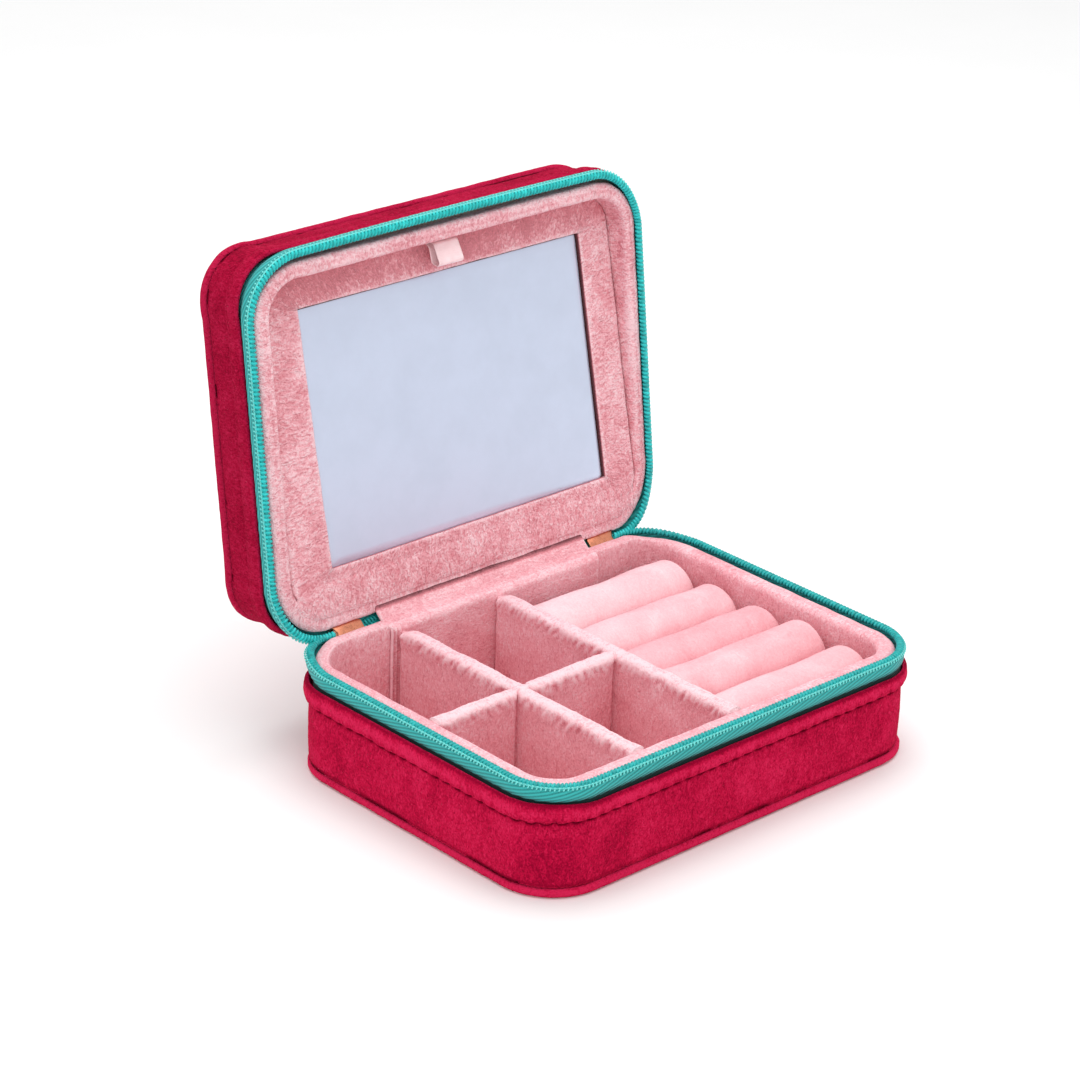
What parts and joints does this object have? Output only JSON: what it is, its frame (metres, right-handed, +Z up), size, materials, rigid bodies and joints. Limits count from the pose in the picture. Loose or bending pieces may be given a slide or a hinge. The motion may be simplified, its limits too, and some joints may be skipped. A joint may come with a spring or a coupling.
{
  "type": "jewelry box",
  "caption": "Zip-round velvet travel jewelry box standing open, with a mirror flap in the lid, divided compartments and padded ring rolls.",
  "frame": {"origin": "centre of the flat underside of the base", "axes": "+Z up, X along the hinge with the ring rolls at +X, +Y to the back where the hinge is"},
  "size_m": [0.15, 0.1495, 0.1438],
  "materials": {
    "crimson_velvet": "short-pile velvet",
    "pink_velvet": "plush velvet",
    "ring_velvet": "brushed velvet over foam",
    "greyboard": "raw grey board",
    "teal_tape": "herringbone woven tape",
    "teal_coil": "nylon coil",
    "satin_ribbon": "satin",
    "mirror": "silvered glass",
    "foam_tape": "double-sided foam tape",
    "rose_gold": "rose-gold plated casting"
  },
  "bodies": {
    "base": {"base_bottom_panel": "crimson_velvet", "base_tray": "greyboard", "base_cover": "crimson_velvet", "base_lining": "pink_velvet", "base_floor_pad": "pink_velvet", "divider_main": "pink_velvet", "divider_side": "pink_velvet", "divider_cross": "pink_velvet", "ring_roll_1": "ring_velvet", "ring_roll_2": "ring_velvet", "ring_roll_3": "ring_velvet", "ring_roll_4": "ring_velvet", "ring_roll_5": "ring_velvet", "base_zip_tape": "teal_tape", "base_zip_coil": "teal_coil", "spine_cover": "crimson_velvet", "spine_lining": "pink_velvet"},
    "lid": {"lid_top_panel": "crimson_velvet", "lid_tray": "greyboard", "lid_cover": "crimson_velvet", "lid_lining": "pink_velvet", "lid_back_lining": "pink_velvet", "lid_zip_tape": "teal_tape", "lid_zip_coil": "teal_coil", "flap_hinge_strip": "pink_velvet", "flap_ledge": "pink_velvet"},
    "mirror_flap": {"flap_face": "pink_velvet", "flap_board": "greyboard", "flap_back": "pink_velvet", "mirror_pad": "foam_tape", "mirror_glass": "mirror", "ribbon_loop": "satin_ribbon"},
    "zip_tail": {"left_chain_tail": "teal_coil", "right_chain_tail": "teal_coil"},
    "left_slider": {"left_slider_body": "rose_gold", "left_slider_bridge": "rose_gold"},
    "right_slider": {"right_slider_body": "rose_gold", "right_slider_bridge": "rose_gold"},
    "left_pull": {"left_pull": "rose_gold"},
    "right_pull": {"right_pull": "rose_gold"}
  },
  "joints": [
    {"name": "lid_hinge", "type": "hinge", "parent": "base", "child": "lid", "pos_m": [0, 0.056, 0.0338], "axis": [-1, 0, 0], "range_deg": [-97.5, 0], "deforming": ["spine_cover", "spine_lining"]},
    {"name": "zip_tail_turn", "type": "hinge", "parent": "base", "child": "zip_tail", "pos_m": [0, 0.056, 0.0338], "axis": [-1, 0, 0], "range_deg": [-48.75, 0]},
    {"name": "mirror_flap_swing", "type": "hinge", "parent": "lid", "child": "mirror_flap", "pos_m": [0, 0.05934, 0.04234], "axis": [1, 0, 0], "range_deg": [0, 100]},
    {"name": "left_slider_run", "type": "slide", "parent": "zip_tail", "child": "left_slider", "axis": [1, 0, 0], "range_m": [-0.0018, 0.0028]},
    {"name": "right_slider_run", "type": "slide", "parent": "zip_tail", "child": "right_slider", "axis": [1, 0, 0], "range_m": [-0.0013, 0.0013]},
    {"name": "left_pull_swing", "type": "hinge", "parent": "left_slider", "child": "left_pull", "pos_m": [-0.0493, 0.0593, 0.03004], "axis": [0, 0.7518, 0.6593], "range_deg": [-80, 80]},
    {"name": "right_pull_swing", "type": "hinge", "parent": "right_slider", "child": "right_pull", "pos_m": [0.05, 0.0593, 0.03004], "axis": [0, 0.7518, 0.6593], "range_deg": [-80, 80]}
  ],
  "couplings": [
    {"joint": "zip_tail_turn", "follows": "lid_hinge", "ratio": 0.5}
  ]
}
